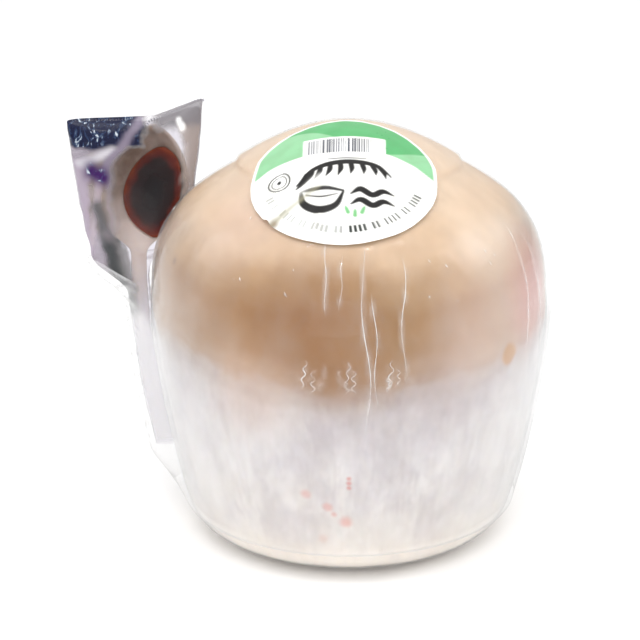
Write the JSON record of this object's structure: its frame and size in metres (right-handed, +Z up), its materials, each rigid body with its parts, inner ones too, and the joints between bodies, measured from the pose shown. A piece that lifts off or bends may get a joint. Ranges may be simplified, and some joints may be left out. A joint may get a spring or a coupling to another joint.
{
  "type": "wrapped young coconut with syrup spoon",
  "caption": "Trimmed young coconut in clear stretch film, with a round paper label on its shoulder and a sealed spoon of syrup in a clear sachet held at its side.",
  "frame": {"origin": "centre of the flat spot underneath, on which the fruit stands", "axes": "+Z up to the crown, -Y towards the label, -X towards the spoon"},
  "size_m": [0.1861, 0.1531, 0.1578],
  "materials": {
    "husk_and_shell": "smooth tan shell above a matt white trimmed husk",
    "stretch_film": "clear stretch film with tension wrinkles",
    "label_paper": "printed paper with a light varnish",
    "sachet_film": "crinkled clear film",
    "spoon_plastic": "translucent cream plastic",
    "palm_syrup": "dark palm sugar syrup"
  },
  "bodies": {
    "root": {"coconut": "husk_and_shell", "wrap_film": "stretch_film", "band_film": "stretch_film", "label": "label_paper", "sachet": "sachet_film", "spoon": "spoon_plastic", "syrup": "palm_syrup", "spoon_seal": "sachet_film"}
  },
  "joints": []
}
